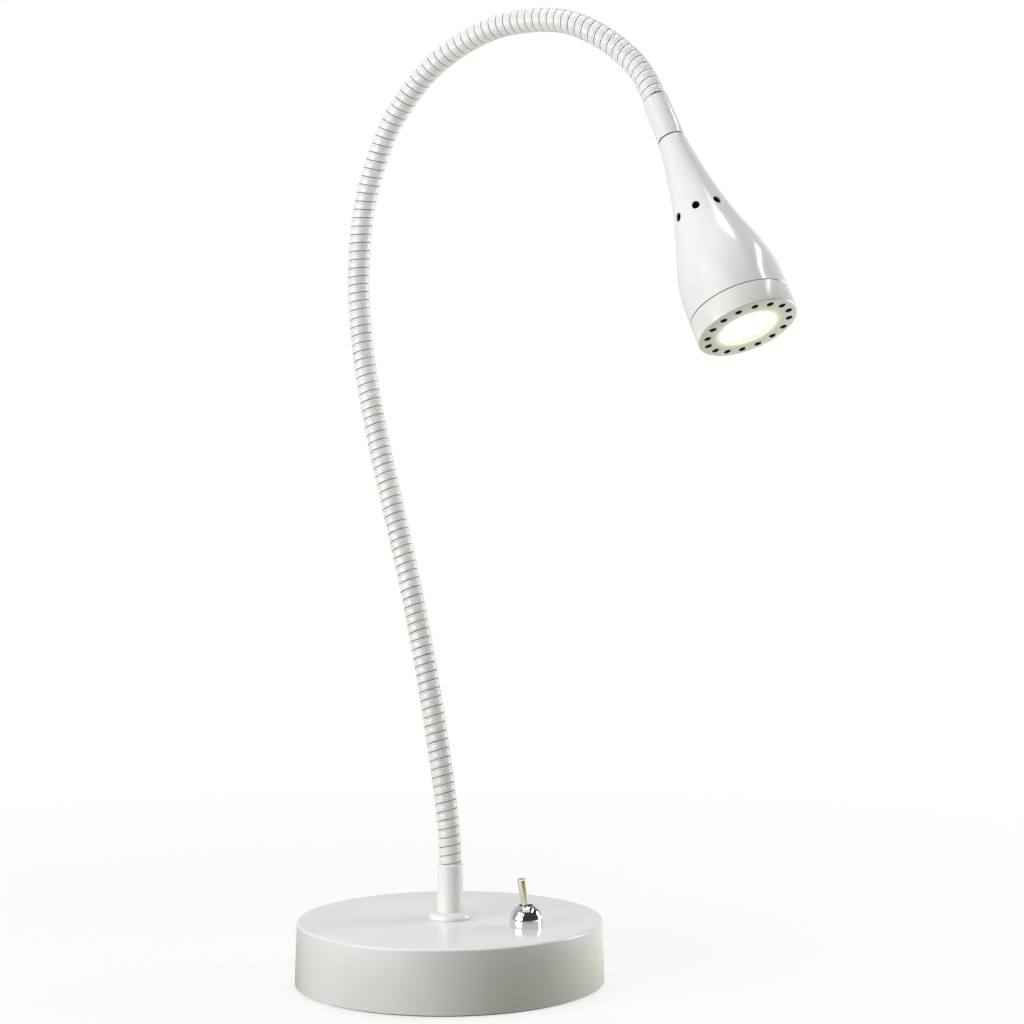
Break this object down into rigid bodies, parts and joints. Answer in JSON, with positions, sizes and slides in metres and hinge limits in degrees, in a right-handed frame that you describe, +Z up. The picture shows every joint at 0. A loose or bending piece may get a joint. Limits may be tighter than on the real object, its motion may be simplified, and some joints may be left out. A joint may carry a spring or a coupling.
{
  "type": "gooseneck desk lamp",
  "caption": "Gooseneck desk lamp: weighted round base with toggle switch, bendable wound steel hose and bell-shaped LED head, painted white.",
  "frame": {"origin": "middle of the foot pad, on the plane that the lamp stands on", "axes": "+Z up; the bent hose lies in the XZ plane at rest and the head hangs towards +X; the cord inlet faces -X"},
  "size_m": [0.2756, 0.152, 0.4725],
  "materials": {
    "white_paint": "semi-gloss powder coat",
    "head_paint": "gloss",
    "hose_paint": "semi-gloss paint over wound steel",
    "cast_weight": "rough cast",
    "zinc_steel": "zinc plated",
    "foam_pad": "matte foam",
    "grommet_rubber": "matte",
    "brass_thread": "satin",
    "board_green": "satin",
    "part_black": "satin",
    "lead_sleeve": "satin",
    "lead_red": "satin",
    "switch_black": "satin",
    "nickel": "bright nickel plate",
    "chrome_nut": "polished",
    "gasket_rubber": "matte",
    "lens_plastic": "frosted, lit from behind",
    "reflector_metal": "polished",
    "led_phosphor": "matte phosphor",
    "led_board_white": "white solder mask",
    "sink_aluminium": "satin"
  },
  "bodies": {
    "base": {"base_shell": "white_paint", "base_weight": "cast_weight", "bottom_plate": "zinc_steel", "bottom_screws": "zinc_steel", "foot_pad": "foam_pad", "inlet_grommet": "grommet_rubber", "stem_collar": "white_paint", "stem_tube": "white_paint", "stem_nipple": "brass_thread", "stem_washer": "zinc_steel", "stem_nut": "zinc_steel", "driver_board": "board_green", "driver_parts": "part_black", "board_standoffs": "brass_thread", "board_screws": "zinc_steel", "lamp_leads": "lead_sleeve", "switch_leads": "lead_red", "switch_case": "switch_black", "switch_terminals": "brass_thread", "switch_bushing": "nickel", "switch_lock_washer": "zinc_steel", "switch_inner_nut": "zinc_steel", "switch_dome_nut": "chrome_nut", "switch_pivot_pin": "zinc_steel", "hose_root": "hose_paint"},
    "toggle_lever": {"toggle_lever": "nickel"},
    "hose_link_01": {"hose_link_01": "hose_paint"},
    "hose_link_02": {"hose_link_02": "hose_paint"},
    "hose_link_03": {"hose_link_03": "hose_paint"},
    "hose_link_04": {"hose_link_04": "hose_paint"},
    "hose_link_05": {"hose_link_05": "hose_paint"},
    "hose_link_06": {"hose_link_06": "hose_paint"},
    "hose_link_07": {"hose_link_07": "hose_paint"},
    "hose_link_08": {"hose_link_08": "hose_paint"},
    "hose_link_09": {"hose_link_09": "hose_paint"},
    "hose_link_10": {"hose_link_10": "hose_paint"},
    "hose_link_11": {"hose_link_11": "hose_paint"},
    "hose_link_12": {"hose_link_12": "hose_paint"},
    "hose_link_13": {"hose_link_13": "hose_paint"},
    "head": {"hose_tip": "hose_paint", "head_ferrule": "head_paint", "head_nipple": "brass_thread", "head_nut": "zinc_steel", "head_leads": "lead_sleeve", "head_shell": "head_paint", "front_ring": "head_paint", "lens_gasket": "gasket_rubber", "lens": "lens_plastic", "reflector": "reflector_metal", "led_emitter": "led_phosphor", "led_board": "led_board_white", "led_board_screws": "zinc_steel", "heat_sink": "sink_aluminium", "heat_sink_screws": "zinc_steel"}
  },
  "joints": [
    {"name": "switch_toggle", "type": "hinge", "parent": "base", "child": "toggle_lever", "pos_m": [0.04218, 0.00518, 0.036], "axis": [-0.9925, -0.1219, 0], "range_deg": [0, 28]},
    {"name": "hose_bend_01", "type": "hinge", "parent": "base", "child": "hose_link_01", "pos_m": [-0.00141, 0, 0.07822], "axis": [0, 1, 0], "range_deg": [-20, 12]},
    {"name": "hose_side_02", "type": "hinge", "parent": "hose_link_01", "child": "hose_link_02", "pos_m": [-0.00794, 0, 0.11826], "axis": [0.9816, 0, 0.1908], "range_deg": [-20, 20]},
    {"name": "hose_bend_03", "type": "hinge", "parent": "hose_link_02", "child": "hose_link_03", "pos_m": [-0.01612, 0, 0.15799], "axis": [0, 1, 0], "range_deg": [-20, 12]},
    {"name": "hose_side_04", "type": "hinge", "parent": "hose_link_03", "child": "hose_link_04", "pos_m": [-0.02577, 0, 0.19739], "axis": [0.9636, 0, 0.2672], "range_deg": [-20, 20]},
    {"name": "hose_bend_05", "type": "hinge", "parent": "hose_link_04", "child": "hose_link_05", "pos_m": [-0.0369, 0, 0.23641], "axis": [0, 1, 0], "range_deg": [-20, 12]},
    {"name": "hose_side_06", "type": "hinge", "parent": "hose_link_05", "child": "hose_link_06", "pos_m": [-0.04771, 0, 0.27551], "axis": [0.9703, 0, 0.2419], "range_deg": [-20, 20]},
    {"name": "hose_bend_07", "type": "hinge", "parent": "hose_link_06", "child": "hose_link_07", "pos_m": [-0.05577, 0, 0.31525], "axis": [0, 1, 0], "range_deg": [-20, 12]},
    {"name": "hose_side_08", "type": "hinge", "parent": "hose_link_07", "child": "hose_link_08", "pos_m": [-0.0583, 0, 0.35567], "axis": [0.999, 0, -0.0436], "range_deg": [-20, 20]},
    {"name": "hose_bend_09", "type": "hinge", "parent": "hose_link_08", "child": "hose_link_09", "pos_m": [-0.05182, 0, 0.39555], "axis": [0, 1, 0], "range_deg": [-35, 12]},
    {"name": "hose_side_10", "type": "hinge", "parent": "hose_link_09", "child": "hose_link_10", "pos_m": [-0.03306, 0, 0.43118], "axis": [0.7604, 0, -0.6494], "range_deg": [-20, 20]},
    {"name": "hose_bend_11", "type": "hinge", "parent": "hose_link_10", "child": "hose_link_11", "pos_m": [-0.00183, 0, 0.45645], "axis": [0, 1, 0], "range_deg": [-45, 10]},
    {"name": "hose_side_12", "type": "hinge", "parent": "hose_link_11", "child": "hose_link_12", "pos_m": [0.03707, 0, 0.46674], "axis": [0.0262, 0, -0.9997], "range_deg": [-20, 20]},
    {"name": "hose_bend_13", "type": "hinge", "parent": "hose_link_12", "child": "hose_link_13", "pos_m": [0.07674, 0, 0.46044], "axis": [0, 1, 0], "range_deg": [-50, 5]},
    {"name": "hose_side_14", "type": "hinge", "parent": "hose_link_13", "child": "head", "pos_m": [0.10915, 0, 0.43697], "axis": [-0.7986, 0, -0.6018], "range_deg": [-27, 12]}
  ]
}
